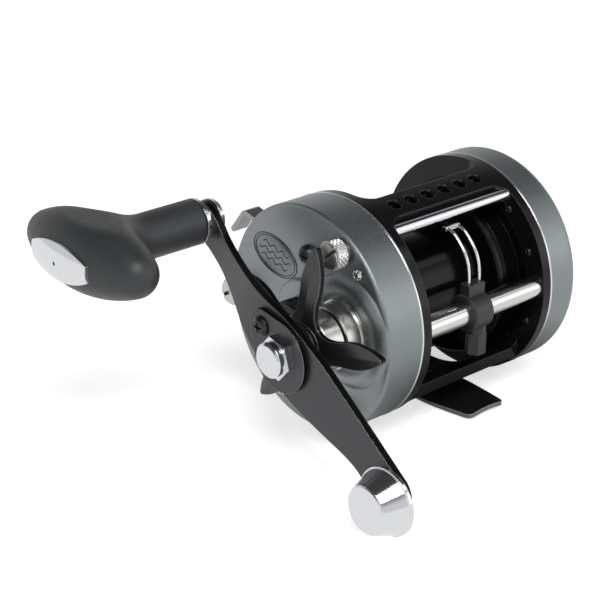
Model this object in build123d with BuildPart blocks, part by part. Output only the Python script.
from build123d import *

import os
from math import acos, atan2, cos, degrees, pi, radians, sin, tan

# Round level-wind trolling reel, millimetres.
# The parts are drawn about the spool axis, midway between the frame's two rings, and are written
# out about the middle of the foot's seat face, so that face is at z = 0.
# +X points to the palm side, so the crank is at -X; +Y points to the angler; +Z is up from the foot.
# Stations are x values; centres are (y, z) pairs; angles are measured from +Y towards +Z.

# --- driving dimensions -----------------------------------------------------
PLATE_R = 31.0
HALF_FRAME = 24.4
RING_T = 3.1
RING_BORE = 25.0
HANDLE_DEPTH = 12.0
PALM_DEPTH = 10.6
WALL = 1.2
CAVITY_R = 29.0
FIT = 0.05

RING_IN = HALF_FRAME - RING_T
FACE = -(HALF_FRAME + HANDLE_DEPTH)
FACE_IN = FACE + WALL
PALM_FACE = HALF_FRAME + PALM_DEPTH
PALM_FACE_IN = PALM_FACE - 1.6
FLANGE_T = 1.0
FLANGE_R = 28.85
DISC_R = RING_BORE - FIT

# gear train: one module for the spool drive, a finer one for the line guide
MODULE = 0.5
MAIN_TEETH = 49
PINION_TEETH = 12
FINE = 0.4
GUIDE_TEETH = 46
COG_TEETH = 13
MESH_SLACK = 0.04
PRESSURE_ANGLE = 20.0

# axes as (y, z)
SPOOL = (0, 0)
DRIVE_Y = -15.2
DRIVE_Z = 1.6
DRIVE = (DRIVE_Y, DRIVE_Z)
WORM = (DRIVE_Y - FINE * (GUIDE_TEETH + COG_TEETH) / 2 - MESH_SLACK, DRIVE_Z)

# spool
SPOOL_FACE_A = -16.9
SPOOL_FACE_B = 12.1
SPOOL_WALL = 2.0
SPOOL_R = 23.6
ARBOR_R = 14.5
SHAFT_R = 2.0
JOURNAL_R = 1.5
BEARING_R = 4.0

# line guide
TUBE_R = 3.3
TUBE_BORE = 2.75
GUIDE_X = -2.65
GUIDE_W = 6.8
WIRE_R = 0.5
WIRE_X = (-4.3, -0.5)
ROD_AT = (-15.5, 25.0)
ROD_R = 1.6

# fasteners through the handle-side face
SCREW_CIRCLE = 26.6
THUMB_ANGLES = (0, 120, 240)
THUMB_SLOTS = (150, 139, 100)
PLATE_SCREWS = ((-19.0, 18.4), (10.4, -25.2))
DOME_AT = (-0.3, 18.2)
PALM_ANGLES = (20, 140, 260)

# crank
ARM_IN = -55.9
ARM_OUT = -57.9
ARM_ANGLE = 30.0
ARM_SWEEP = 5.6
KNOB_REACH = 45.1
WEIGHT_REACH = 44.7
KNOB_AT = (22.75, 25.3)
WEIGHT_AT = (-53.85, -22.3)
STAR_TIP_R = 27.0
STAR_ARMS = 5
STAR_START = 24.2

# foot, and the shift from the spool axis to the seat face
SEAT_Z = -28.6
FOOT_T = 2.2
FOOT_X = 4.2
FOOT_BOTTOM = SEAT_Z - FOOT_T
TO_SEAT_FACE = Location((-FOOT_X, 0, -FOOT_BOTTOM))


def at_angle(angle, radius, centre=SPOOL):
    """Point (y, z) at a radius and an angle from a centre."""
    return (centre[0] + radius * cos(radians(angle)), centre[1] + radius * sin(radians(angle)))


def ring(start, end, outer, bore=0.0, at=SPOOL, mode=Mode.ADD):
    """Disc or ring along X between two stations, added to the open part."""
    with BuildSketch(Plane.YZ.offset(start)) as profile:
        with Locations(at):
            Circle(outer)
            if bore:
                Circle(bore, mode=Mode.SUBTRACT)
    extrude(profile.sketch, amount=end - start, mode=mode)


def turned(outline, at=SPOOL, mode=Mode.ADD):
    """Solid turned about an axis along X through a centre, from (x, radius) corners."""
    axis_plane = Plane((0, at[0], at[1]), x_dir=(1, 0, 0), z_dir=(0, -1, 0))
    with BuildSketch(axis_plane) as half:
        with BuildLine():
            Polyline(*outline, close=True)
        make_face()
    revolve(half.sketch, axis=Axis((0, at[0], at[1]), (1, 0, 0)), mode=mode)


def flat(start, end, outline, mode=Mode.ADD):
    """Plate along X between two stations, from (y, z) corners."""
    with BuildSketch(Plane.YZ.offset(start)) as profile:
        with BuildLine():
            Polyline(*outline, close=True)
        make_face()
    extrude(profile.sketch, amount=end - start, mode=mode)


def involute(angle):
    return tan(angle) - angle


def gear(start, end, at, teeth, module, head, phase):
    """Spur gear between two stations, with one tooth centred on the angle phase (degrees)."""
    pitch_r = module * teeth / 2
    base_r = pitch_r * cos(radians(PRESSURE_ANGLE))
    tip_r = pitch_r + head * module
    root_r = pitch_r - 1.25 * module
    low_r = max(base_r, root_r)
    tooth_thinning = 0.05 / pitch_r
    half_pitch_angle = pi / (2 * teeth) - tooth_thinning / 2 + involute(radians(PRESSURE_ANGLE))

    def flank(radius, side, middle):
        lean = half_pitch_angle - involute(acos(min(1.0, base_r / radius)))
        return at_angle(degrees(middle + side * lean), radius, at)

    with BuildSketch(Plane.YZ.offset(start)) as profile:
        with BuildLine():
            for tooth in range(teeth):
                middle = radians(phase) + 2 * pi * tooth / teeth
                gap = middle + pi / teeth
                rise = [flank(r, -1, middle) for r in (low_r, (low_r + tip_r) / 2, tip_r)]
                fall = [flank(r, 1, middle) for r in (tip_r, (low_r + tip_r) / 2, low_r)]
                foot_lean = half_pitch_angle
                root_in = at_angle(degrees(middle - foot_lean), root_r, at)
                root_out = at_angle(degrees(middle + foot_lean), root_r, at)
                next_root = at_angle(degrees(middle + 2 * pi / teeth - foot_lean), root_r, at)
                if low_r > root_r:
                    Line(root_in, rise[0])
                ThreePointArc(*rise)
                ThreePointArc(rise[2], at_angle(degrees(middle), tip_r, at), fall[0])
                ThreePointArc(*fall)
                if low_r > root_r:
                    Line(fall[2], root_out)
                    ThreePointArc(root_out, at_angle(degrees(gap), root_r, at), next_root)
                else:
                    following = flank(low_r, -1, middle + 2 * pi / teeth)
                    ThreePointArc(fall[2], at_angle(degrees(gap), root_r, at), following)
        make_face()
    extrude(profile.sketch, amount=end - start)


def toothed(start, end, radius, depth, teeth, at=SPOOL):
    """Disc with pointed ridges round its edge, for knurls and ratchets."""
    corners = []
    for tooth in range(teeth):
        turn = 360.0 * tooth / teeth
        corners.append(at_angle(turn, radius, at))
        corners.append(at_angle(turn + 180.0 / teeth, radius - depth, at))
    flat(start, end, corners)


def bar_between_rings(low, high, inner_r, flare, sign):
    """Strip of the frame's wall seen in plan, from y = low to high, flaring into both rings."""
    with BuildPart() as strip:
        with BuildSketch(Plane.YZ.offset(-RING_IN)):
            Circle(PLATE_R)
            Circle(inner_r, mode=Mode.SUBTRACT)
        extrude(amount=2 * RING_IN)
        with BuildSketch(Plane.XY):
            with Locations((0, (low + high) / 2)):
                Rectangle(2 * RING_IN, high - low + 2 * flare)
            with Locations((0, low - PLATE_R), (0, high + PLATE_R)):
                RectangleRounded(2 * RING_IN, 2 * PLATE_R, flare, mode=Mode.SUBTRACT)
        extrude(amount=sign * (PLATE_R + 1), mode=Mode.INTERSECT)
    return strip.part


def cut_slot(start, end, half_width, reach, at, angle=0.0):
    """Screwdriver slot across a head, cut along an angle from the open part."""
    with BuildSketch(Plane.YZ.offset(start)) as profile:
        with Locations(Location((at[0], at[1]), angle)):
            Rectangle(2 * reach, 2 * half_width)
    extrude(profile.sketch, amount=end - start, mode=Mode.SUBTRACT)


def cut_cross(start, end, half_width, reach, at):
    """Cross recess of two slots, cut from the open part."""
    cut_slot(start, end, half_width, reach, at)
    cut_slot(start, end, half_width, reach, at, 90.0)


def label_and_write(builder, name):
    placed = builder.part.moved(TO_SEAT_FACE)
    placed.label = name
    export_step(placed, f"parts/{name}.step")


os.makedirs("parts", exist_ok=True)

# --- frame ------------------------------------------------------------------
BAR_LOW = -13.6
BAR_HIGH = -5.6
BAR_INNER_R = 27.5
BAR_FLARE = 4.6
BAR_HOLE_R = 1.75
BAR_HOLE_PITCH = 6.0
BAR_HOLE_ANGLE = 108.2
SPINE_X = (1.2, 10.8)
SPINE_FRONT = -20

crossbar = bar_between_rings(BAR_LOW, BAR_HIGH, BAR_INNER_R, BAR_FLARE, 1)
rear_bar = bar_between_rings(7.8, 14.5, BAR_INNER_R, 2.5, -1)

with BuildPart() as front_pillar:
    with BuildSketch(Plane.XZ.offset(18.4)):
        with Locations((0, -19.5)):
            Rectangle(2 * RING_IN, 3.2 + 5.0)
        with Locations((0, -17.9 + 10), (0, -21.1 - 10)):
            RectangleRounded(2 * RING_IN, 20, 2.5, mode=Mode.SUBTRACT)
    extrude(amount=4.0)
    with BuildSketch(Plane.YZ.offset(-RING_IN)):
        Circle(PLATE_R - 0.2)
    extrude(amount=2 * RING_IN, mode=Mode.INTERSECT)

with BuildPart() as spine:
    with BuildSketch(Plane.YZ.offset(SPINE_X[0])):
        Circle(29.6)
        Circle(26.0, mode=Mode.SUBTRACT)
    extrude(amount=SPINE_X[1] - SPINE_X[0])
    with BuildSketch(Plane.YZ.offset(SPINE_X[0])):
        with BuildLine():
            Polyline((0, 0), (SPINE_FRONT, -18.6), (SPINE_FRONT, SEAT_Z), (14, SEAT_Z), close=True)
        make_face()
    extrude(amount=SPINE_X[1] - SPINE_X[0], mode=Mode.INTERSECT)

with BuildPart() as frame:
    ring(-HALF_FRAME, -RING_IN, PLATE_R, RING_BORE)
    ring(RING_IN, HALF_FRAME, PLATE_R, RING_BORE)
    add(crossbar)
    add(front_pillar.part)
    add(rear_bar)
    add(spine.part)
    with BuildSketch(Plane.XY.offset(-PLATE_R - 1)):
        Rectangle(2 * RING_IN, 2 * PLATE_R)
    extrude(amount=PLATE_R + 1 + SEAT_Z, mode=Mode.SUBTRACT)
    hole_y, hole_z = at_angle(BAR_HOLE_ANGLE, PLATE_R)
    hole_plane = Plane((0, hole_y, hole_z), x_dir=(1, 0, 0), z_dir=(0, hole_y, hole_z))
    with Locations(hole_plane):
        with GridLocations(BAR_HOLE_PITCH, 0, 6, 1):
            CounterSinkHole(BAR_HOLE_R, BAR_HOLE_R + 0.35, depth=6)
    for angle in THUMB_ANGLES:
        ring(-HALF_FRAME, -RING_IN, 1.4, at=at_angle(angle, SCREW_CIRCLE), mode=Mode.SUBTRACT)
    for centre in PLATE_SCREWS:
        ring(-HALF_FRAME, -RING_IN - 1.0, 0.9, at=centre, mode=Mode.SUBTRACT)
    for angle in PALM_ANGLES:
        ring(RING_IN + 0.6, HALF_FRAME, 1.0, at=at_angle(angle, SCREW_CIRCLE + 0.8), mode=Mode.SUBTRACT)
    ring(-HALF_FRAME, HALF_FRAME, TUBE_R + 0.02, at=WORM, mode=Mode.SUBTRACT)
    ring(-RING_IN, RING_IN, ROD_R, at=ROD_AT, mode=Mode.SUBTRACT)
    ring(-RING_IN - 1.5, RING_IN + 1.5, 0.8, at=ROD_AT, mode=Mode.SUBTRACT)
label_and_write(frame, "frame")

# --- foot -------------------------------------------------------------------
FOOT_HALF = 28.2
FOOT_SEAT_HALF_Y = 11.0
FOOT_WIDE = 8.8
FOOT_TIP = 6.8
WING_START = 8.2
RIVET_AT = [(across, along) for across in (3.4, 8.6) for along in (-5.2, 5.2)]

with BuildPart() as foot:
    with BuildSketch(Plane((FOOT_X, 0, FOOT_BOTTOM))):
        with BuildLine():
            for side in (1, -1):
                Line((side * FOOT_WIDE, -FOOT_SEAT_HALF_Y), (side * FOOT_WIDE, FOOT_SEAT_HALF_Y))
                for end in (1, -1):
                    Spline(
                        (side * FOOT_WIDE, end * FOOT_SEAT_HALF_Y),
                        (side * 8.0, end * 19.0),
                        (side * FOOT_TIP, end * (FOOT_HALF - 1.6)),
                        tangents=[(0, end, 0), (-side * 0.18, end, 0)],
                    )
                    ThreePointArc(
                        (side * FOOT_TIP, end * (FOOT_HALF - 1.6)),
                        (side * (FOOT_TIP - 0.6), end * (FOOT_HALF - 0.45)),
                        (side * (FOOT_TIP - 1.8), end * FOOT_HALF),
                    )
            for end in (1, -1):
                Line((-(FOOT_TIP - 1.8), end * FOOT_HALF), (FOOT_TIP - 1.8, end * FOOT_HALF))
        make_face()
    extrude(amount=FOOT_T)
    # both wings are arched across, with thinner tips
    for end in (1, -1):
        with BuildSketch(Plane((FOOT_X, end * FOOT_SEAT_HALF_Y, 0), x_dir=(1, 0, 0), z_dir=(0, -1, 0))):
            with BuildLine():
                ThreePointArc((-12, FOOT_BOTTOM - 1.4), (0, FOOT_BOTTOM + 0.9), (12, FOOT_BOTTOM - 1.4))
                Line((12, FOOT_BOTTOM - 1.4), (12, FOOT_BOTTOM - 3))
                Line((12, FOOT_BOTTOM - 3), (-12, FOOT_BOTTOM - 3))
                Line((-12, FOOT_BOTTOM - 3), (-12, FOOT_BOTTOM - 1.4))
            make_face()
        extrude(amount=-end * (FOOT_HALF - FOOT_SEAT_HALF_Y + 1), mode=Mode.SUBTRACT)
        with BuildSketch(Plane((FOOT_X, end * WING_START, 0), x_dir=(1, 0, 0), z_dir=(0, -1, 0))):
            with BuildLine():
                ThreePointArc((-12, SEAT_Z - 2.4), (0, SEAT_Z - 0.1), (12, SEAT_Z - 2.4))
                Line((12, SEAT_Z - 2.4), (12, SEAT_Z + 1))
                Line((12, SEAT_Z + 1), (-12, SEAT_Z + 1))
                Line((-12, SEAT_Z + 1), (-12, SEAT_Z - 2.4))
            make_face()
        extrude(amount=-end * (FOOT_HALF - WING_START + 1), mode=Mode.SUBTRACT)
    for centre in RIVET_AT:
        with Locations(Location((centre[0], centre[1], FOOT_BOTTOM + FOOT_T / 2))):
            Cylinder(1.25, FOOT_T + 1, mode=Mode.SUBTRACT)
label_and_write(foot, "foot")

with BuildPart() as foot_rivets:
    for centre in RIVET_AT:
        with Locations(Location((centre[0], centre[1], SEAT_Z))):
            Cylinder(1.25, FOOT_T - 0.1, align=(Align.CENTER, Align.CENTER, Align.MAX))
label_and_write(foot_rivets, "foot_rivets")

# --- handle-side plate ------------------------------------------------------
BOSS_R = 15.5
NECK_R = 5.2
NECK_END = -41.0
LIP_R = 11.0
COLLAR_BORE = 7.0
COLUMN_R = 2.3
SLOT_X = (-35.0, -29.7)

with BuildPart() as handle_side_plate:
    ring(FACE, -HALF_FRAME, PLATE_R)
    fillet(handle_side_plate.edges().sort_by(Axis.X)[0], 1.0)
    with BuildSketch(Plane((0, *DRIVE), x_dir=(1, 0, 0), z_dir=(0, -1, 0))) as boss:
        with BuildLine():
            ThreePointArc((-37.3, 9.6), (-38.0, 13.0), (FACE, BOSS_R))
            Polyline((FACE, BOSS_R), (FACE + 1, BOSS_R), (FACE + 1, 0), (-37.3, 0), (-37.3, 9.6))
        make_face()
    revolve(boss.sketch, axis=Axis((0, *DRIVE), (1, 0, 0)))
    with BuildSketch(Plane.YZ.offset(-45)):
        Circle(PLATE_R - 0.02)
    extrude(amount=45 - HALF_FRAME, mode=Mode.INTERSECT)
    turned([(FACE + 1, 0), (-37.9, 0), (-37.9, LIP_R - 0.5), (-37.4, LIP_R), (FACE + 1, LIP_R)])
    ring(NECK_END, FACE, NECK_R)
    ring(FACE_IN, -HALF_FRAME, CAVITY_R, mode=Mode.SUBTRACT)
    for angle in THUMB_ANGLES:
        ring(FACE_IN, -HALF_FRAME - FLANGE_T, COLUMN_R, at=at_angle(angle, SCREW_CIRCLE))
    ring(-36.5, FACE_IN, 13.4, at=DRIVE, mode=Mode.SUBTRACT)
    ring(-36.7, FACE_IN, 9.9, mode=Mode.SUBTRACT)
    ring(-37.4, -36.7, 3.5, mode=Mode.SUBTRACT)
    ring(NECK_END, -37.4, BEARING_R, mode=Mode.SUBTRACT)
    ring(-38.4, -37.3, 9.2, at=DRIVE, mode=Mode.SUBTRACT)
    ring(-38.4, -36.5, COLLAR_BORE, at=DRIVE, mode=Mode.SUBTRACT)
    ring(-28.4, -HALF_FRAME, 3.25, at=WORM, mode=Mode.SUBTRACT)
    for angle in THUMB_ANGLES:
        ring(FACE, -HALF_FRAME - FLANGE_T, 1.45, at=at_angle(angle, SCREW_CIRCLE), mode=Mode.SUBTRACT)
    for centre in PLATE_SCREWS:
        ring(FACE, FACE_IN, 0.95, at=centre, mode=Mode.SUBTRACT)
        ring(FACE - 3, FACE + 0.5, 1.75, at=centre, mode=Mode.SUBTRACT)
    ring(FACE, FACE_IN, 1.3, at=DOME_AT, mode=Mode.SUBTRACT)
    flat(SLOT_X[0], SLOT_X[1], [(17, 22.4), (17, 15.2), (31, 15.2), (31, 22.4)], mode=Mode.SUBTRACT)
label_and_write(handle_side_plate, "handle_side_plate")

# --- gear base plate, held between the ring and the side plate ---------------
BUSH_R = 4.5
DRIVE_JOURNAL_R = 3.0
POST_AT = ((3.5, 7.4), (3.5, -7.4))
POST_TIP = -36.7
POST_PIN_R = 0.8

with BuildPart() as gear_base_plate:
    ring(-HALF_FRAME, -21.9, DISC_R)
    ring(-HALF_FRAME - FLANGE_T, -HALF_FRAME, FLANGE_R)
    ring(-HALF_FRAME - FLANGE_T, -21.9, 4.2, mode=Mode.SUBTRACT)
    ring(-HALF_FRAME - FLANGE_T, -21.9, BUSH_R, at=DRIVE, mode=Mode.SUBTRACT)
    ring(-HALF_FRAME, -21.9, TUBE_R + 0.02, at=WORM, mode=Mode.SUBTRACT)
    ring(-HALF_FRAME - FLANGE_T, -HALF_FRAME, 1.9, at=WORM, mode=Mode.SUBTRACT)
    for angle in THUMB_ANGLES:
        ring(-HALF_FRAME - FLANGE_T, -21.9, 1.45, at=at_angle(angle, SCREW_CIRCLE), mode=Mode.SUBTRACT)
    for centre in PLATE_SCREWS:
        ring(-HALF_FRAME - FLANGE_T, -21.9, 0.95, at=centre, mode=Mode.SUBTRACT)
    for centre in POST_AT:
        ring(POST_TIP, -HALF_FRAME, POST_PIN_R, at=centre)
label_and_write(gear_base_plate, "gear_base_plate")

# --- palm-side plate and its inner bulkhead ---------------------------------
CLICK_SLOT_Z = (9.5, 18.5)
CLICK_STEM_R = 1.5

with BuildPart() as palm_side_plate:
    ring(HALF_FRAME, PALM_FACE, PLATE_R)
    fillet(palm_side_plate.edges().sort_by(Axis.X)[-1], 2.5)
    turned(
        [(PALM_FACE - 1, 0), (PALM_FACE + 1.2, 0), (PALM_FACE + 1.2, 11), (PALM_FACE - 1, 13.5)],
        at=(0, -9),
    )
    ring(HALF_FRAME, PALM_FACE_IN, CAVITY_R, mode=Mode.SUBTRACT)
    with BuildSketch(Plane.YZ.offset(PALM_FACE_IN)):
        with Locations((0, sum(CLICK_SLOT_Z) / 2)):
            SlotOverall(CLICK_SLOT_Z[1] - CLICK_SLOT_Z[0], 2 * CLICK_STEM_R + 0.2, rotation=90)
    extrude(amount=4, mode=Mode.SUBTRACT)
    for angle in PALM_ANGLES:
        centre = at_angle(angle, SCREW_CIRCLE + 0.8)
        ring(HALF_FRAME + FLANGE_T, PALM_FACE_IN, 2.4, at=centre)
        ring(HALF_FRAME, PALM_FACE, 1.1, at=centre, mode=Mode.SUBTRACT)
        ring(PALM_FACE - 1.0, PALM_FACE, 2.0, at=centre, mode=Mode.SUBTRACT)
    ring(HALF_FRAME, HALF_FRAME + FLANGE_T, CAVITY_R, mode=Mode.SUBTRACT)
label_and_write(palm_side_plate, "palm_side_plate")

BULK_STEP_R = 22.0
DRUM_R = 12.5

with BuildPart() as palm_bulkhead:
    ring(RING_IN + 0.05, HALF_FRAME, DISC_R)
    ring(HALF_FRAME, HALF_FRAME + FLANGE_T, FLANGE_R)
    turned(
        [
            (17.5, 0), (17.5, DRUM_R), (15.2, DRUM_R), (15.2, BULK_STEP_R - 1.2),
            (16.4, BULK_STEP_R), (RING_IN + 0.05, BULK_STEP_R), (RING_IN + 0.05, 0),
        ]
    )
    ring(17.5, 21.0, BEARING_R, mode=Mode.SUBTRACT)
    ring(21.0, HALF_FRAME + FLANGE_T, 2.3, mode=Mode.SUBTRACT)
    ring(15, 22.9, TUBE_R + 0.02, at=WORM, mode=Mode.SUBTRACT)
    ring(22.9, HALF_FRAME, 2.75, at=WORM, mode=Mode.SUBTRACT)
    for angle in PALM_ANGLES:
        centre = at_angle(angle, SCREW_CIRCLE + 0.8)
        ring(RING_IN, HALF_FRAME + FLANGE_T, 1.1, at=centre, mode=Mode.SUBTRACT)
label_and_write(palm_bulkhead, "palm_bulkhead")

# --- fasteners --------------------------------------------------------------
THUMB_R = 3.65
THUMB_TALL = 5.0

with BuildPart() as thumb_screws:
    for angle, slot_angle in zip(THUMB_ANGLES, THUMB_SLOTS):
        centre = at_angle(angle, SCREW_CIRCLE)
        toothed(FACE - THUMB_TALL + 0.4, FACE - 0.9, THUMB_R, 0.22, 40, at=centre)
        ring(FACE - THUMB_TALL, FACE - THUMB_TALL + 0.4, THUMB_R - 0.4, at=centre)
        ring(FACE - 0.9, FACE, THUMB_R - 0.9, at=centre)
        ring(FACE, -RING_IN - 0.4, 1.38, at=centre)
        cut_slot(FACE - THUMB_TALL, FACE - THUMB_TALL + 1.4, 0.5, 5, centre, slot_angle)
label_and_write(thumb_screws, "thumb_screws")

with BuildPart() as plate_screws:
    for centre in PLATE_SCREWS:
        turned(
            [(FACE + 0.5, 0), (FACE + 0.5, 1.7), (FACE - 0.1, 1.6), (FACE - 0.7, 0.9), (FACE - 0.8, 0)],
            at=centre,
        )
        ring(FACE + 0.5, -RING_IN - 1.2, 0.85, at=centre)
        cut_slot(FACE - 1.0, FACE - 0.2, 0.3, 3, centre, 60)
label_and_write(plate_screws, "plate_screws")

with BuildPart() as dome_screw:
    turned(
        [(FACE, 0), (FACE, 2.7), (FACE - 0.8, 2.6), (FACE - 1.5, 2.1), (FACE - 2.0, 1.3), (FACE - 2.2, 0)],
        at=DOME_AT,
    )
    ring(FACE, FACE_IN + 1.6, 1.25, at=DOME_AT)
    cut_cross(FACE - 3, FACE - 1.0, 0.25, 1.2, DOME_AT)
label_and_write(dome_screw, "dome_screw")

with BuildPart() as palm_screws:
    for angle in PALM_ANGLES:
        centre = at_angle(angle, SCREW_CIRCLE + 0.8)
        ring(PALM_FACE - 1.0, PALM_FACE - 0.1, 1.95, at=centre)
        ring(RING_IN + 0.8, PALM_FACE - 1.0, 0.95, at=centre)
        cut_slot(PALM_FACE - 0.7, PALM_FACE, 0.3, 3, centre)
label_and_write(palm_screws, "palm_screws")

# --- rod, tube and line guide -----------------------------------------------
with BuildPart() as top_rod:
    ring(-RING_IN, RING_IN, ROD_R, at=ROD_AT)
    ring(-RING_IN - 1.4, RING_IN + 1.4, 0.8, at=ROD_AT)
label_and_write(top_rod, "top_rod")

TUBE_END = HALF_FRAME - 0.02
with BuildPart() as guide_tube:
    ring(-TUBE_END, 22.88, TUBE_R, TUBE_BORE, at=WORM)
    with BuildSketch(Plane.XY.offset(WORM[1] - TUBE_R - 1)):
        with Locations((GUIDE_X, WORM[0])):
            SlotOverall(33, 2.8)
    extrude(amount=TUBE_R, mode=Mode.SUBTRACT)
label_and_write(guide_tube, "guide_tube")

WORM_R = 2.3
GROOVE_R = 1.85
with BuildPart() as worm_shaft:
    ring(-21.8, 20.4, WORM_R, at=WORM)
    ring(-28.3, 22.6, JOURNAL_R, at=WORM)
    groove_x = -18.0
    while groove_x < 14.0:
        for lean in (1, -1):
            tilted = Plane((groove_x, *WORM), x_dir=(0, 0, 1), z_dir=(1, 0.55 * lean, 0))
            with BuildSketch(tilted.offset(-0.35)) as band:
                Circle(3.2)
                Circle(GROOVE_R, mode=Mode.SUBTRACT)
            extrude(band.sketch, amount=0.7, mode=Mode.SUBTRACT)
        groove_x += 3.6
label_and_write(worm_shaft, "worm_shaft")

with BuildPart() as bushings:
    ring(-HALF_FRAME - FLANGE_T, -22.1, BUSH_R, DRIVE_JOURNAL_R + FIT, at=DRIVE)
    ring(-HALF_FRAME - FLANGE_T, -22.2, 1.88, JOURNAL_R + FIT, at=WORM)
    ring(20.8, 22.8, 2.72, JOURNAL_R + FIT, at=WORM)
label_and_write(bushings, "bushings")

COG_X = (-27.7, -25.7)
with BuildPart() as worm_cog:
    gear(COG_X[0], COG_X[1], WORM, COG_TEETH, FINE, 1.0, 180.0 / COG_TEETH)
    ring(COG_X[0], COG_X[1], JOURNAL_R, at=WORM, mode=Mode.SUBTRACT)
label_and_write(worm_cog, "worm_cog")

GUIDE_A = GUIDE_X - GUIDE_W / 2
GUIDE_B = GUIDE_X + GUIDE_W / 2
BLOCK_TOP = 9.5
BLOCK_MIDDLE = 7.4
PIVOT_Z = -5.0
PAWL_X = -0.6
CAP_BOTTOM = -11.5
CAP_HEX_HALF = 2.45
COLLAR_R = 5.1
with BuildPart() as line_guide_carriage:
    ring(GUIDE_A, GUIDE_B, COLLAR_R, at=WORM)
    chamfer(line_guide_carriage.edges().filter_by(GeomType.CIRCLE), 0.4)
    with Locations(Location((GUIDE_X + 0.1, WORM[0] + 0.2, BLOCK_MIDDLE))):
        Box(5.8, 3.2, 2 * (BLOCK_TOP - BLOCK_MIDDLE))
    with Locations(Location((PAWL_X, WORM[0], PIVOT_Z + 1.6))):
        Cylinder(2.6, 3.2)
    ring(GUIDE_A, GUIDE_B, TUBE_R + FIT, at=WORM, mode=Mode.SUBTRACT)
    for wire_x in WIRE_X:
        with Locations(Location((wire_x, -27.0, 9.6))):
            Cylinder(WIRE_R, 2.2, mode=Mode.SUBTRACT)
    with Locations(Location((PAWL_X, WORM[0], PIVOT_Z + 1.6))):
        Cylinder(1.25, 4.4, mode=Mode.SUBTRACT)
label_and_write(line_guide_carriage, "line_guide_carriage")

with BuildPart() as guide_wires:
    for wire_x in WIRE_X:
        with BuildLine() as wire_path:
            Spline(
                (wire_x, -27.0, 8.6), (wire_x, -26.4, 15.0), (wire_x, -25.0, 17.8),
                (wire_x, -22.0, 21.0), (wire_x, -18.6, 22.4),
                tangents=[(0, 0, 1), (0, 1, 0.12)],
            )
        with BuildSketch(Plane((wire_x, -27.0, 8.6), z_dir=(0, 0, 1))):
            Circle(WIRE_R - 0.005)
        sweep(path=wire_path.line)
    with Locations(Location((sum(WIRE_X) / 2, -18.2, 22.46))):
        Box(WIRE_X[1] - WIRE_X[0] + 1.2, 1.3, 1.0)
label_and_write(guide_wires, "guide_wires")

PAWL_TOP = WORM[1] - WORM_R - FIT
with BuildPart() as pawl:
    with Locations(Location((PAWL_X, WORM[0], PAWL_TOP))):
        Cylinder(1.2, PAWL_TOP - CAP_BOTTOM - 1.2, align=(Align.CENTER, Align.CENTER, Align.MAX))
label_and_write(pawl, "pawl")

with BuildPart() as pawl_cap:
    with BuildSketch(Plane.XY.offset(CAP_BOTTOM)):
        with Locations((PAWL_X, WORM[0])):
            RegularPolygon(CAP_HEX_HALF, 6, major_radius=False)
    extrude(amount=PIVOT_Z - CAP_BOTTOM)
    chamfer(pawl_cap.faces().sort_by(Axis.Z)[0].edges(), 0.5)
    with Locations(Location((PAWL_X, WORM[0], PIVOT_Z))):
        Cylinder(
            1.25,
            PIVOT_Z - CAP_BOTTOM - 1.0,
            align=(Align.CENTER, Align.CENTER, Align.MAX),
            mode=Mode.SUBTRACT,
        )
label_and_write(pawl_cap, "pawl_cap")

# --- spool and shaft --------------------------------------------------------
SPOOL_END_A = SPOOL_FACE_A - SPOOL_WALL
SPOOL_END_B = SPOOL_FACE_B + SPOOL_WALL
with BuildPart() as spool:
    turned(
        [
            (SPOOL_END_A - 1.0, SHAFT_R), (SPOOL_END_A - 1.0, 5.0), (SPOOL_END_A + 3.0, 5.0),
            (SPOOL_END_A + 3.0, 11.5), (SPOOL_END_A, 12.5), (SPOOL_END_A, SPOOL_R - 0.5),
            (SPOOL_END_A + 0.5, SPOOL_R), (SPOOL_FACE_A - 0.5, SPOOL_R), (SPOOL_FACE_A, SPOOL_R - 0.5),
            (SPOOL_FACE_A, ARBOR_R), (SPOOL_FACE_B, ARBOR_R), (SPOOL_FACE_B, SPOOL_R - 0.5),
            (SPOOL_FACE_B + 0.5, SPOOL_R), (SPOOL_END_B - 0.5, SPOOL_R), (SPOOL_END_B, SPOOL_R - 0.5),
            (SPOOL_END_B, 12.5), (SPOOL_END_B - 3.0, 11.5), (SPOOL_END_B - 3.0, SHAFT_R),
        ]
    )
    circles = spool.edges().filter_by(GeomType.CIRCLE)
    fillet(circles.filter_by(lambda edge: abs(edge.radius - ARBOR_R) < 0.01), 2.0)
label_and_write(spool, "spool")

PIN_X = -25.9
CAP_TOUCH = -40.6
SHOULDER_A = -27.2
SHAFT_END_B = 28.2
with BuildPart() as spool_shaft:
    ring(SHOULDER_A, 16.9, SHAFT_R)
    ring(CAP_TOUCH, SHAFT_END_B, JOURNAL_R)
    with Locations(Location((PIN_X, 0, 0), (90, 0, 0))):
        Cylinder(0.5, 5.6)
label_and_write(spool_shaft, "spool_shaft")

with BuildPart() as spool_bearings:
    for start in (-40.4, 17.6):
        ring(start, start + 3.0, BEARING_R - 0.01, 3.4)
        ring(start, start + 3.0, 2.1, JOURNAL_R + 0.02)
        for ball in range(7):
            y, z = at_angle(ball * 360 / 7, 2.75)
            with Locations(Location((start + 1.5, y, z))):
                Sphere(0.64)
        ring(start + 0.2, start + 0.4, 3.39, 2.11)
label_and_write(spool_bearings, "spool_bearings")

# --- centrifugal brake ------------------------------------------------------
with BuildPart() as brake_ring:
    ring(15.3, 17.5, DRUM_R - 0.02, 11.8)
label_and_write(brake_ring, "brake_ring")

ROTOR_X = 15.5
with BuildPart() as brake_rotor:
    ring(SPOOL_END_B - 3.0, 16.6, 4.2, SHAFT_R)
    with Locations(Location((ROTOR_X, 0, 0))):
        Cylinder(0.7, 2 * 10.6)
    ring(SPOOL_END_B - 3.0, 16.6, SHAFT_R, mode=Mode.SUBTRACT)
label_and_write(brake_rotor, "brake_rotor")

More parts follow.
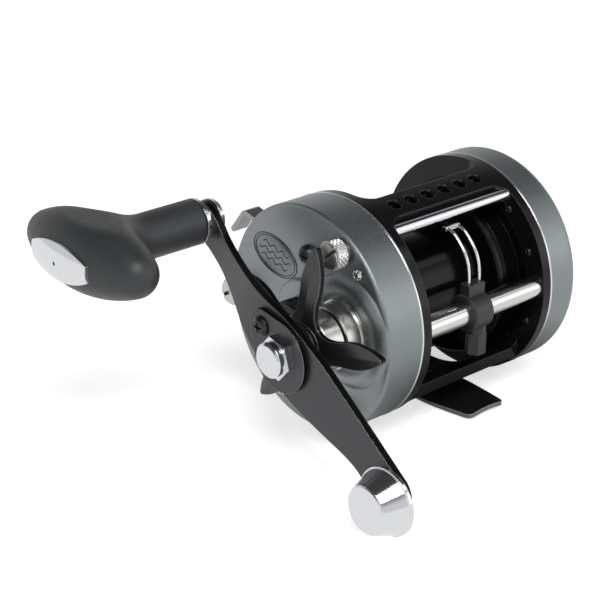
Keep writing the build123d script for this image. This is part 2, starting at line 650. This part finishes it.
for side, side_name in ((1, "upper"), (-1, "lower")):
    with BuildPart() as brake_block:
        with Locations(Location((ROTOR_X, 0, side * 9.2))):
            Cylinder(1.7, 3.2)
            Cylinder(0.7 + FIT, 3.2, mode=Mode.SUBTRACT)
        ring(ROTOR_X - 3, ROTOR_X + 3, 11.3, mode=Mode.INTERSECT)
    label_and_write(brake_block, f"brake_block_{side_name}")

# --- line-out click ---------------------------------------------------------
with BuildPart() as click_gear:
    toothed(25.7, 27.3, 6.0, 0.9, 20)
    ring(25.7, 27.3, JOURNAL_R, mode=Mode.SUBTRACT)
label_and_write(click_gear, "click_gear")

CLICK_Z = 16.0
with BuildPart() as click_pawl:
    ring(25.8, 27.2, 2.7, at=(0, CLICK_Z))
    flat(25.8, 27.2, [(-1.4, CLICK_Z), (-1.4, 10.2), (0, 8.9), (1.4, 10.2), (1.4, CLICK_Z)])
    ring(25.8, 27.2, CLICK_STEM_R, at=(0, CLICK_Z), mode=Mode.SUBTRACT)
label_and_write(click_pawl, "click_pawl")

with BuildPart() as click_button:
    ring(25.8, PALM_FACE + 0.1, CLICK_STEM_R, at=(0, CLICK_Z))
    turned(
        [
            (PALM_FACE + 0.1, 0), (PALM_FACE + 0.1, 4.0), (PALM_FACE + 1.7, 3.8),
            (PALM_FACE + 2.4, 3.0), (PALM_FACE + 2.4, 0),
        ],
        at=(0, CLICK_Z),
    )
label_and_write(click_button, "click_button")

with BuildPart() as click_springs:
    for side in (1, -1):
        flat(25.9, 27.1, [(side * 4.2, 18), (side * 4.5, 18), (side * 3.1, 7.6), (side * 2.8, 7.6)])
        ring(HALF_FRAME + FLANGE_T, 27.4, 1.0, at=(side * 4.4, 18.9))
label_and_write(click_springs, "click_springs")

# --- pinion and its yoke ----------------------------------------------------
line_of_centres = degrees(atan2(-DRIVE_Z, -DRIVE_Y))
PINION_BORE = JOURNAL_R + 0.06
with BuildPart() as pinion:
    gear(-32.6, -27.4, SPOOL, PINION_TEETH, MODULE, 1.0, line_of_centres + 180 + 180.0 / PINION_TEETH)
    ring(-27.4, -25.3, 3.4)
    ring(-33.8, -32.6, 2.3)
    ring(-34.5, -33.8, 3.3)
    ring(-34.5, -25.3, PINION_BORE, mode=Mode.SUBTRACT)
    ring(-27.3, -25.3, SHAFT_R + 0.08, mode=Mode.SUBTRACT)
    flat(-26.6, -25.3, [(-4, -0.6), (4, -0.6), (4, 0.6), (-4, 0.6)], mode=Mode.SUBTRACT)
label_and_write(pinion, "pinion")

with BuildPart() as clutch_yoke:
    with BuildSketch(Plane.YZ.offset(-33.7)):
        with Locations((1.7, 0)):
            RectangleRounded(9.0, 20.0, 2.0)
        Circle(2.3 + FIT, mode=Mode.SUBTRACT)
        with Locations((-4, 0)):
            Rectangle(8, 4.7, mode=Mode.SUBTRACT)
        with Locations(*POST_AT):
            Circle(POST_PIN_R + FIT, mode=Mode.SUBTRACT)
    extrude(amount=1.0)
label_and_write(clutch_yoke, "clutch_yoke")

with BuildPart() as yoke_springs:
    for centre in POST_AT:
        for turn in range(4):
            with Locations(Location((-36.45 + 0.42 * turn, *centre), (0, 90, 0))):
                Torus(1.25, 0.2)
label_and_write(yoke_springs, "yoke_springs")

TAB_X = (-34.8, -29.9)
with BuildPart() as release_lever:
    with BuildSketch(Plane.YZ.offset(TAB_X[0])):
        with BuildLine() as tab_path:
            FilletPolyline((11.0, 9.0), (20.5, 19.6), (27.9, 21.3), (33.3, 14.5), radius=1.2)
        trace(tab_path.line, line_width=1.3)
    extrude(amount=TAB_X[1] - TAB_X[0])
label_and_write(release_lever, "release_lever")

# --- drive train on the crank axis ------------------------------------------
DRIVE_R = 2.5
GUIDE_GEAR_X = COG_X
SEAT_X = (-28.9, -27.9)
MAIN_X = (-32.2, -29.2)
CUP_FLOOR = -30.2
CUP_END = -34.3
CUP_BORE = 9.6
SHAFT_TIP = -61.0

with BuildPart() as drive_shaft:
    ring(-27.9, -22.3, DRIVE_JOURNAL_R, at=DRIVE)
    ring(SEAT_X[0], SEAT_X[1], 5.0, at=DRIVE)
    ring(SHAFT_TIP, SEAT_X[0], DRIVE_R, at=DRIVE)
label_and_write(drive_shaft, "drive_shaft")

with BuildPart() as guide_drive_gear:
    gear(GUIDE_GEAR_X[0], GUIDE_GEAR_X[1], DRIVE, GUIDE_TEETH, FINE, 0.8, 180.0)
    ring(GUIDE_GEAR_X[0], GUIDE_GEAR_X[1], DRIVE_JOURNAL_R, at=DRIVE, mode=Mode.SUBTRACT)
    for hole in range(6):
        ring(GUIDE_GEAR_X[0], GUIDE_GEAR_X[1], 1.4, at=at_angle(60 * hole, 6.0, DRIVE), mode=Mode.SUBTRACT)
label_and_write(guide_drive_gear, "guide_drive_gear")

with BuildPart() as main_gear:
    gear(MAIN_X[0], MAIN_X[1], DRIVE, MAIN_TEETH, MODULE, 0.75, line_of_centres)
    ring(CUP_END, MAIN_X[0], 10.9, at=DRIVE)
    ring(CUP_END, CUP_FLOOR, CUP_BORE, at=DRIVE, mode=Mode.SUBTRACT)
    ring(CUP_FLOOR, MAIN_X[1], DRIVE_R + FIT, at=DRIVE, mode=Mode.SUBTRACT)
label_and_write(main_gear, "main_gear")

FRICTION_X = ((-30.9, -30.2), (-32.4, -31.7), (-33.9, -33.2))
METAL_X = ((-31.7, -30.9), (-33.2, -32.4), (-34.9, -33.9))
with BuildPart() as friction_washers:
    for start, end in FRICTION_X:
        ring(start, end, 9.4, 3.4, at=DRIVE)
label_and_write(friction_washers, "friction_washers")

with BuildPart() as drag_washers:
    for start, end in METAL_X:
        ring(start, end, 9.2, DRIVE_R, at=DRIVE)
label_and_write(drag_washers, "drag_washers")

COLLAR_X = (-43.3, -37.3)
with BuildPart() as bearing_collar:
    turned(
        [
            (-36.6, 6.0), (-36.6, COLLAR_BORE - 0.02), (-37.3, COLLAR_BORE - 0.02), (-37.3, 9.1),
            (-38.1, 9.1), (-38.3, 8.7), (-39.0, 8.5), (-43.0, 8.3), (-43.3, 8.0), (-43.3, 6.0),
        ],
        at=DRIVE,
    )
label_and_write(bearing_collar, "bearing_collar")

ROLLERS = 9
with BuildPart() as anti_reverse_bearing:
    ring(-43.0, -37.0, 5.98, 4.95, at=DRIVE)
    for roller in range(ROLLERS):
        ring(-42.6, -37.4, 0.65, at=at_angle(roller * 360 / ROLLERS, 4.25, DRIVE))
label_and_write(anti_reverse_bearing, "anti_reverse_bearing")

with BuildPart() as drag_sleeve:
    ring(-44.2, -34.9, 3.52, DRIVE_R, at=DRIVE)
label_and_write(drag_sleeve, "drag_sleeve")

with BuildPart() as spring_washers:
    turned([(-44.2, 2.6), (-44.2, 3.4), (-44.6, 5.6), (-44.9, 5.6), (-44.5, 2.6)], at=DRIVE)
    turned([(-45.9, 2.6), (-45.9, 3.4), (-45.5, 5.6), (-45.2, 5.6), (-45.6, 2.6)], at=DRIVE)
label_and_write(spring_washers, "spring_washers")

# --- star drag --------------------------------------------------------------
STAR_HUB_X = (-52.9, -49.5)
STAR_HUB_R = 7.2
STAR_NUT_END = -45.95
STAR_LEAN = 0.11
COLLAR_OUT_R = 8.0
COLLAR_IN_R = 6.1

with BuildPart() as star_collar:
    turned(
        [
            (STAR_HUB_X[1], COLLAR_IN_R), (STAR_HUB_X[1], COLLAR_OUT_R - 0.3), (-49.1, COLLAR_OUT_R),
            (-44.1, COLLAR_OUT_R), (-43.8, COLLAR_OUT_R - 0.3), (-43.8, COLLAR_IN_R),
        ],
        at=DRIVE,
    )
label_and_write(star_collar, "star_collar")


def star_arm(angle):
    """One creased leaf of the dished star, leaning towards the side plate."""
    outward = (0, cos(radians(angle)), sin(radians(angle)))
    leaning = (STAR_LEAN, outward[1], outward[2])
    root_x = STAR_HUB_X[0] + 1.0
    with BuildPart() as leaf:
        with BuildSketch(Plane((-56, *DRIVE), x_dir=outward, z_dir=(1, 0, 0))):
            with BuildLine():
                for side in (1, -1):
                    Line((0, 0), (7.1, side * 5.1))
                    Spline(
                        (7.1, side * 5.1), (8.3, side * 3.95), (10.5, side * 3.2), (17, side * 3.4),
                        (23, side * 2.5), (STAR_TIP_R, side * 0.6),
                    )
                ThreePointArc((STAR_TIP_R, 0.6), (STAR_TIP_R + 0.4, 0), (STAR_TIP_R, -0.6))
            make_face()
        extrude(amount=10)
        with BuildSketch(Plane((root_x, *DRIVE), x_dir=(-1, 0, 0), z_dir=leaning)):
            with BuildLine():
                Polyline(
                    (1.0, 0), (0.1, 5.5), (-1.0, 5.5), (-0.8, 0), (-1.0, -5.5), (0.1, -5.5),
                    close=True,
                )
            make_face()
        extrude(amount=STAR_TIP_R + 2, mode=Mode.INTERSECT)
    return leaf.part


star_leaves = [star_arm(STAR_START + 360 / STAR_ARMS * arm) for arm in range(STAR_ARMS)]
with BuildPart() as star_drag:
    ring(STAR_HUB_X[0], STAR_HUB_X[1], STAR_HUB_R, at=DRIVE)
    ring(STAR_HUB_X[1], STAR_NUT_END, COLLAR_IN_R - 0.02, at=DRIVE)
    for star_leaf in star_leaves:
        add(star_leaf)
    for arm in range(STAR_ARMS):
        tip_y, tip_z = at_angle(STAR_START + 360 / STAR_ARMS * arm, STAR_TIP_R - 1.1, DRIVE)
        with Locations(Location((STAR_HUB_X[0] + 1.0 + STAR_LEAN * STAR_TIP_R, tip_y, tip_z))):
            Sphere(1.15)
    ring(STAR_HUB_X[0] - 1, STAR_NUT_END, DRIVE_R + FIT, at=DRIVE, mode=Mode.SUBTRACT)
label_and_write(star_drag, "star_drag")

# --- cast control -----------------------------------------------------------
CAP_X = (-43.4, -38.4)
CAP_R = 6.5
with BuildPart() as cast_control_cap:
    toothed(CAP_X[0] + 0.5, CAP_X[1], CAP_R, 0.3, 26)
    ring(CAP_X[0], CAP_X[0] + 0.5, CAP_R - 0.6)
    ring(NECK_END - 0.4, CAP_X[1], NECK_R + FIT, mode=Mode.SUBTRACT)
label_and_write(cast_control_cap, "cast_control_cap")

with BuildPart() as cast_control_shim:
    ring(NECK_END - 0.4, CAP_TOUCH - 0.05, 3.2)
label_and_write(cast_control_shim, "cast_control_shim")

# --- crank ------------------------------------------------------------------
with BuildPart() as arm_spacer:
    ring(ARM_IN, STAR_HUB_X[0] - 0.05, 4.4, DRIVE_R, at=DRIVE)
label_and_write(arm_spacer, "arm_spacer")

along = (0, cos(radians(ARM_ANGLE)), sin(radians(ARM_ANGLE)))
arm_plan = Plane((-70, *DRIVE), x_dir=along, z_dir=(1, 0, 0))
side_view = Plane((0, *DRIVE), x_dir=along, z_dir=(0, -along[2], along[1]))
LUG_R = 4.9
WEIGHT_LUG_R = 5.9
WEIGHT_SIDE = 0.3
KNOB_SIDE = -0.8
ARM_TAPER_END = (-24, 8.6)
BEND_START = 9.0
BEND_END = 41.0
ARM_T = ARM_IN - ARM_OUT
POST_R = 2.2
WEIGHT_PIN_R = 2.0

NUT_HALF = 5.0
NUT_TURN = 12.0
NUT_X = (-62.9, ARM_OUT)
NUT_HEX_END = -60.6
NUT_ROUND_R = 4.6
RETAINER_T = 1.2
RETAINER_R = 9.6
LOCK_ANGLE = 43.0
LOCK_AT = at_angle(LOCK_ANGLE, 9.0, DRIVE)
LOCK_LUG_R = 4.5
LOCK_R = 1.2
belt_lean = degrees(acos((RETAINER_R - LOCK_LUG_R) / 9.0))
hub_tangents = [at_angle(LOCK_ANGLE + side * belt_lean, RETAINER_R, DRIVE) for side in (1, -1)]
lock_tangents = [at_angle(LOCK_ANGLE + side * belt_lean, LOCK_LUG_R, LOCK_AT) for side in (1, -1)]

KNOB_SEAT = ARM_OUT + ARM_SWEEP
STEM_R = 6.1
STEM_BORE = 5.1
CORE_HALF = 4.0
CORE_LONG = 17.5
CORE_HIGH = 5.4
STEM_END = -55.5
BAR_CENTRE = -87.3
BAR_HALF = 24.3
BAR_HIGH_R = 10.1
BAR_END_R = 6.0
BAR_TILT = -0.5
POST_JOURNAL_R = 1.8
BEARING_OUT_R = 4.0
FAR_BEARING = -84.0
POST_END = FAR_BEARING - 0.5
BORE_END = FAR_BEARING - 1.5
CAP_SINK = 7.6
CAP_RISE = 0.9
LENS_HALF = 12.0
LENS_SIDE = 0.6
LENS_END = 2.2
LENS_MID = 5.0
bar_along = (0, cos(radians(BAR_TILT)), sin(radians(BAR_TILT)))
bar_plane = Plane((BAR_CENTRE, *KNOB_AT), x_dir=bar_along, z_dir=(1, 0, 0))

with BuildPart() as handle_arm:
    with BuildSketch(arm_plan):
        with BuildLine():
            Spline(
                (KNOB_REACH, LUG_R - KNOB_SIDE), (36, 3.6), (24, 4.9), (13.5, 7.6), (2, 9.7), (-9, 9.9),
                ARM_TAPER_END,
                tangents=[(-1, 0, 0), (-1, -0.1, 0)],
            )
            Line(ARM_TAPER_END, (-WEIGHT_REACH, WEIGHT_LUG_R + WEIGHT_SIDE))
            ThreePointArc(
                (-WEIGHT_REACH, WEIGHT_LUG_R + WEIGHT_SIDE),
                (-WEIGHT_REACH - WEIGHT_LUG_R, WEIGHT_SIDE),
                (-WEIGHT_REACH, -WEIGHT_LUG_R + WEIGHT_SIDE),
            )
            Spline(
                (-WEIGHT_REACH, -WEIGHT_LUG_R + WEIGHT_SIDE), (-35, -4.0), (-24, -5.6), (-9, -8.6),
                (2, -9.0), (13.5, -6.6), (24, -4.4), (36, -4.2), (KNOB_REACH, -LUG_R - KNOB_SIDE),
                tangents=[(1, 0, 0), (1, 0, 0)],
            )
            ThreePointArc(
                (KNOB_REACH, -LUG_R - KNOB_SIDE),
                (KNOB_REACH + LUG_R, -KNOB_SIDE),
                (KNOB_REACH, LUG_R - KNOB_SIDE),
            )
        make_face()
    extrude(amount=20)
    with BuildSketch(side_view.offset(-14)):
        with BuildLine():
            Polyline((BEND_START, -ARM_OUT), (-55, -ARM_OUT), (-55, -ARM_IN), (BEND_START, -ARM_IN))
            Spline(
                (BEND_START, -ARM_IN), (BEND_END, -ARM_IN - ARM_SWEEP),
                tangents=[(1, 0, 0), (1, 0, 0)],
            )
            Polyline(
                (BEND_END, -ARM_IN - ARM_SWEEP), (55, -ARM_IN - ARM_SWEEP),
                (55, -ARM_OUT - ARM_SWEEP), (BEND_END, -ARM_OUT - ARM_SWEEP),
            )
            Spline(
                (BEND_END, -ARM_OUT - ARM_SWEEP), (BEND_START, -ARM_OUT),
                tangents=[(-1, 0, 0), (-1, 0, 0)],
            )
        make_face()
    extrude(amount=28, mode=Mode.INTERSECT)
    ring(ARM_OUT, ARM_IN, DRIVE_R, at=DRIVE, mode=Mode.SUBTRACT)
    ring(ARM_OUT + ARM_SWEEP, ARM_IN + ARM_SWEEP, POST_R, at=KNOB_AT, mode=Mode.SUBTRACT)
    ring(ARM_OUT, ARM_IN, WEIGHT_PIN_R, at=WEIGHT_AT, mode=Mode.SUBTRACT)
    ring(ARM_OUT, ARM_OUT + 2, LOCK_R, at=LOCK_AT, mode=Mode.SUBTRACT)
label_and_write(handle_arm, "handle_arm")

with BuildPart() as nut_retainer:
    with BuildSketch(Plane.YZ.offset(ARM_OUT - RETAINER_T)):
        with BuildLine():
            Line(hub_tangents[0], lock_tangents[0])
            ThreePointArc(lock_tangents[0], at_angle(LOCK_ANGLE, LOCK_LUG_R, LOCK_AT), lock_tangents[1])
            Line(lock_tangents[1], hub_tangents[1])
            ThreePointArc(hub_tangents[1], at_angle(LOCK_ANGLE + 180, RETAINER_R, DRIVE), hub_tangents[0])
        make_face()
        with Locations(DRIVE):
            RegularPolygon(NUT_HALF + FIT, 6, major_radius=False, rotation=NUT_TURN, mode=Mode.SUBTRACT)
        with Locations(LOCK_AT):
            Circle(LOCK_R + 0.1, mode=Mode.SUBTRACT)
    extrude(amount=RETAINER_T)
label_and_write(nut_retainer, "nut_retainer")

with BuildPart() as retainer_screw:
    turned(
        [
            (ARM_OUT - RETAINER_T, 0), (ARM_OUT - RETAINER_T, 2.7), (ARM_OUT - RETAINER_T - 0.5, 2.7),
            (ARM_OUT - RETAINER_T - 1.2, 1.8), (ARM_OUT - RETAINER_T - 1.5, 0),
        ],
        at=LOCK_AT,
    )
    ring(ARM_OUT - RETAINER_T, ARM_OUT + 1.9, LOCK_R, at=LOCK_AT)
    cut_cross(ARM_OUT - 3, ARM_OUT - RETAINER_T - 0.6, 0.3, 1.4, LOCK_AT)
label_and_write(retainer_screw, "retainer_screw")

with BuildPart() as handle_nut:
    with BuildSketch(Plane.YZ.offset(NUT_HEX_END)):
        with Locations(DRIVE):
            RegularPolygon(NUT_HALF, 6, major_radius=False, rotation=NUT_TURN)
    extrude(amount=NUT_X[1] - NUT_HEX_END)
    turned(
        [
            (NUT_X[0], 0), (NUT_X[0], NUT_ROUND_R - 0.6), (NUT_X[0] + 0.6, NUT_ROUND_R),
            (NUT_HEX_END, NUT_ROUND_R), (NUT_HEX_END, 0),
        ],
        at=DRIVE,
    )
    ring(SHAFT_TIP, NUT_X[1], DRIVE_R, at=DRIVE, mode=Mode.SUBTRACT)
label_and_write(handle_nut, "handle_nut")

with BuildPart() as counterweight:
    turned(
        [
            (ARM_OUT, 0), (ARM_OUT, 8.8), (ARM_OUT - 0.9, 8.8), (ARM_OUT - 1.1, 8.4),
            (ARM_OUT - 7.0, 6.3), (ARM_OUT - 7.4, 5.9), (ARM_OUT - 7.4, 0),
        ],
        at=WEIGHT_AT,
    )
    ring(ARM_OUT - 1, ARM_IN, WEIGHT_PIN_R, at=WEIGHT_AT)
    turned(
        [(ARM_IN, 0), (ARM_IN, 3.4), (ARM_IN + 0.7, 3.1), (ARM_IN + 1.2, 2.0), (ARM_IN + 1.3, 0)],
        at=WEIGHT_AT,
    )
label_and_write(counterweight, "counterweight")

# --- knob -------------------------------------------------------------------
with BuildPart() as knob_post:
    ring(POST_END, KNOB_SEAT, POST_JOURNAL_R, at=KNOB_AT)
    ring(KNOB_SEAT - 1.0, KNOB_SEAT, 4.0, at=KNOB_AT)
    ring(KNOB_SEAT, KNOB_SEAT + ARM_T, POST_R, at=KNOB_AT)
    turned(
        [
            (KNOB_SEAT + ARM_T, 0), (KNOB_SEAT + ARM_T, 5.0), (KNOB_SEAT + ARM_T + 1.3, 4.8),
            (KNOB_SEAT + ARM_T + 2.0, 3.9), (KNOB_SEAT + ARM_T + 2.0, 0),
        ],
        at=KNOB_AT,
    )
label_and_write(knob_post, "knob_post")

with BuildPart() as knob_collar:
    turned(
        [
            (STEM_END + 0.1, 4.6), (STEM_END + 0.1, STEM_R + 0.1), (STEM_END + 1.2, STEM_R),
            (STEM_END + 1.6, STEM_R - 0.6), (STEM_END + 1.6, 4.6),
        ],
        at=KNOB_AT,
    )
label_and_write(knob_collar, "knob_collar")

with BuildPart() as knob_bearings:
    for start in (STEM_END - 3.2, FAR_BEARING):
        ring(start, start + 3.0, BEARING_OUT_R, 3.4, at=KNOB_AT)
        ring(start, start + 3.0, 2.5, POST_JOURNAL_R + FIT, at=KNOB_AT)
        ring(start + 1.2, start + 1.8, 3.4, 2.5, at=KNOB_AT)
label_and_write(knob_bearings, "knob_bearings")

# the bar is turned from three tangent arcs: two round ends and a long shallow middle
end_centre = BAR_HALF - BAR_END_R
middle_r = (end_centre**2 + BAR_HIGH_R**2 - BAR_END_R**2) / (2 * (BAR_HIGH_R - BAR_END_R))
meet_lean = atan2(middle_r - BAR_HIGH_R, end_centre)
meet_x = end_centre + BAR_END_R * cos(meet_lean)
meet_r = BAR_END_R * sin(meet_lean)
half_x = end_centre + BAR_END_R * cos(meet_lean / 2)
half_r = BAR_END_R * sin(meet_lean / 2)

with BuildPart() as bar_body:
    with BuildSketch(bar_plane):
        with BuildLine():
            ThreePointArc((-BAR_HALF, 0), (-half_x, -half_r), (-meet_x, -meet_r))
            ThreePointArc((-meet_x, -meet_r), (0, -BAR_HIGH_R), (meet_x, -meet_r))
            ThreePointArc((meet_x, -meet_r), (half_x, -half_r), (BAR_HALF, 0))
            Line((BAR_HALF, 0), (-BAR_HALF, 0))
        make_face()
    revolve(axis=Axis((BAR_CENTRE, *KNOB_AT), bar_along))

with BuildPart() as cap_prism:
    with BuildSketch(bar_plane.offset(-CAP_SINK)):
        with BuildLine():
            for side in (1, -1):
                end_y = LENS_SIDE + side * LENS_HALF
                left = (LENS_SIDE - LENS_HALF, side * LENS_END)
                right = (LENS_SIDE + LENS_HALF, side * LENS_END)
                ThreePointArc(left, (LENS_SIDE, side * LENS_MID), right)
                Line((end_y, -LENS_END), (end_y, LENS_END))
        make_face()
    extrude(amount=-(BAR_HIGH_R + 2 - CAP_SINK))

with BuildPart() as knob_end_cap:
    add(bar_body.part.moved(Location((-CAP_RISE, 0, 0))))
    add(cap_prism.part, mode=Mode.INTERSECT)
    ring(BAR_CENTRE - BAR_HIGH_R - 2, BAR_CENTRE - CAP_SINK - 1, 0.5, at=KNOB_AT, mode=Mode.SUBTRACT)
label_and_write(knob_end_cap, "knob_end_cap")

with BuildPart() as knob_core:
    ring(BAR_CENTRE - CORE_HALF, STEM_END, STEM_BORE, at=KNOB_AT)
    with BuildSketch(bar_plane.offset(-CORE_HALF)):
        Ellipse(CORE_LONG, CORE_HIGH)
    extrude(amount=2 * CORE_HALF)
    ring(BORE_END, STEM_END, 2.7, at=KNOB_AT, mode=Mode.SUBTRACT)
    ring(STEM_END - 3.3, STEM_END, BEARING_OUT_R + 0.02, at=KNOB_AT, mode=Mode.SUBTRACT)
    ring(BORE_END, FAR_BEARING + 3.1, BEARING_OUT_R + 0.02, at=KNOB_AT, mode=Mode.SUBTRACT)
label_and_write(knob_core, "knob_core")

with BuildPart() as knob_grip:
    add(bar_body.part)
    ring(BAR_CENTRE, STEM_END, STEM_R, at=KNOB_AT)
    ring(BAR_CENTRE, STEM_END, STEM_BORE, at=KNOB_AT, mode=Mode.SUBTRACT)
    with BuildSketch(bar_plane.offset(-CORE_HALF)):
        Ellipse(CORE_LONG, CORE_HIGH)
    extrude(amount=2 * CORE_HALF, mode=Mode.SUBTRACT)
    add(cap_prism.part, mode=Mode.SUBTRACT)
label_and_write(knob_grip, "knob_grip")
